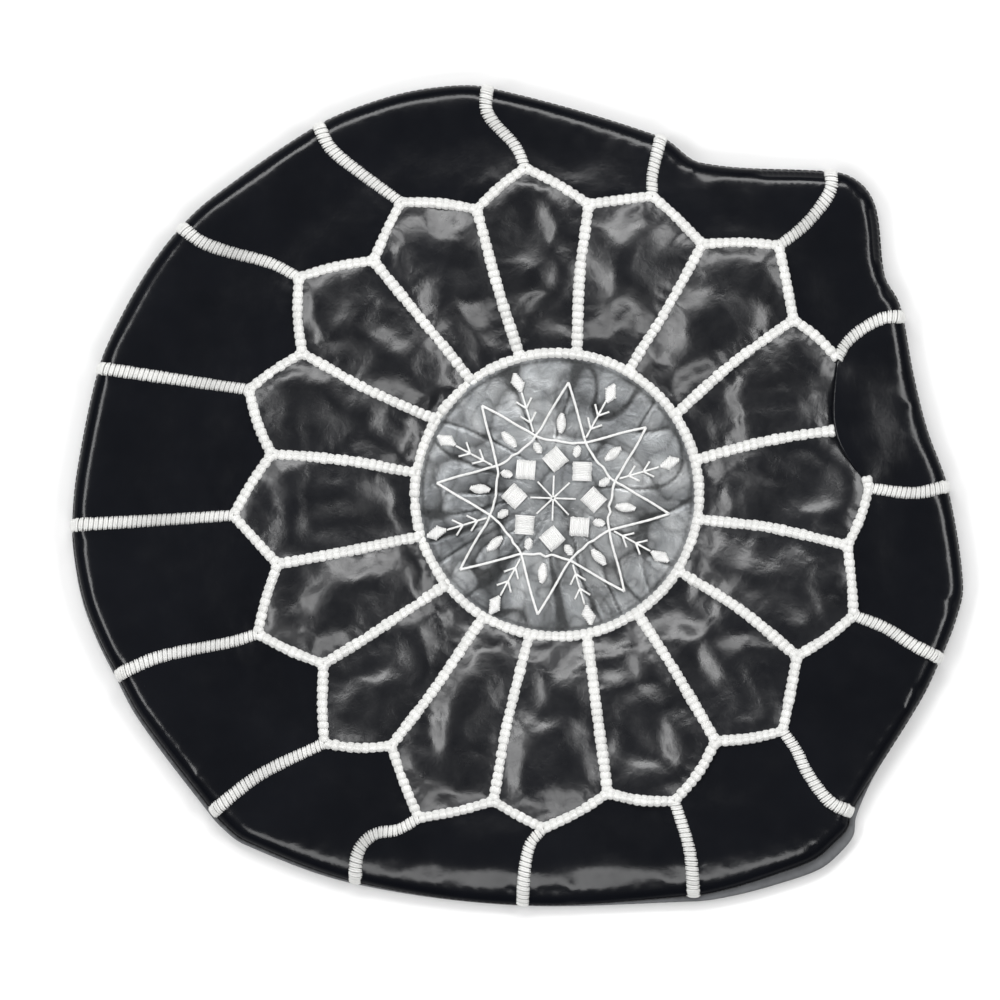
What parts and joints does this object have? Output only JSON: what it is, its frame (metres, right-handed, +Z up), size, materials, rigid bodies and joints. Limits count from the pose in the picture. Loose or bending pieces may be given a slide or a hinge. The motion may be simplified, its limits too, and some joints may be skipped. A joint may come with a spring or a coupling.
{
  "type": "leather pouf cover",
  "caption": "Round leather pouf cover lying empty and flat: embroidered medallion, ring of petals and side panels joined by thick braided seams, and a zip in the base for the stuffing.",
  "frame": {"origin": "middle of the cover's outline box, on the floor it lies on", "axes": "+Z up out of the embroidered top, +X along the zip towards its closed end, +Y towards the rear"},
  "size_m": [0.588, 0.5409, 0.0316],
  "materials": {
    "black_leather": "glossy, fine grain",
    "silver_leather": "satin, crinkled",
    "base_leather": "matt",
    "white_thread": "matt twisted thread",
    "dark_thread": "matt thread",
    "zip_tape": "woven tape",
    "zip_plastic": "satin",
    "zip_metal": "satin black"
  },
  "bodies": {
    "root": {"medallion": "silver_leather", "petal_01": "black_leather", "petal_02": "black_leather", "petal_03": "black_leather", "petal_04": "black_leather", "petal_05": "black_leather", "petal_06": "black_leather", "petal_07": "black_leather", "petal_08": "black_leather", "petal_09": "black_leather", "petal_10": "black_leather", "petal_11": "black_leather", "petal_12": "black_leather", "petal_13": "black_leather", "petal_14": "black_leather", "petal_15": "black_leather", "petal_16": "black_leather", "side_panel_01": "black_leather", "side_panel_02": "black_leather", "side_panel_03": "black_leather", "side_panel_04": "black_leather", "side_panel_05": "black_leather", "side_panel_06": "black_leather", "side_panel_07": "black_leather", "side_panel_08": "black_leather", "side_panel_09": "black_leather", "side_panel_10": "black_leather", "side_panel_11": "black_leather", "side_panel_12": "black_leather", "side_panel_13": "black_leather", "side_panel_14": "black_leather", "side_panel_15": "black_leather", "side_panel_16": "black_leather", "base_front": "base_leather", "base_rear": "base_leather", "ring_braid": "white_thread", "petal_edge_braid": "white_thread", "spoke_braids": "white_thread", "side_seam_braids": "white_thread", "centre_star_embroidery": "white_thread", "square_embroidery": "white_thread", "inner_leaf_embroidery": "white_thread", "star_outline_embroidery": "white_thread", "tip_leaf_embroidery": "white_thread", "sprig_embroidery": "white_thread", "diamond_embroidery": "white_thread", "base_seam": "dark_thread", "base_stitching": "dark_thread", "zip_tape_front": "zip_tape", "zip_tape_rear": "zip_tape", "zip_teeth_front": "zip_plastic", "zip_teeth_rear": "zip_plastic", "zip_top_stops": "zip_metal", "zip_bottom_stop": "zip_metal"},
    "slider": {"zip_slider": "zip_metal"},
    "pull": {"zip_pull": "zip_metal"}
  },
  "joints": [
    {"name": "zip_slide", "type": "slide", "parent": "root", "child": "slider", "axis": [-1, 0, 0], "range_m": [0, 0.278]},
    {"name": "pull_swing", "type": "hinge", "parent": "slider", "child": "pull", "pos_m": [0.139, 0, 0.00142], "axis": [0, -1, 0], "range_deg": [0, 165]}
  ]
}
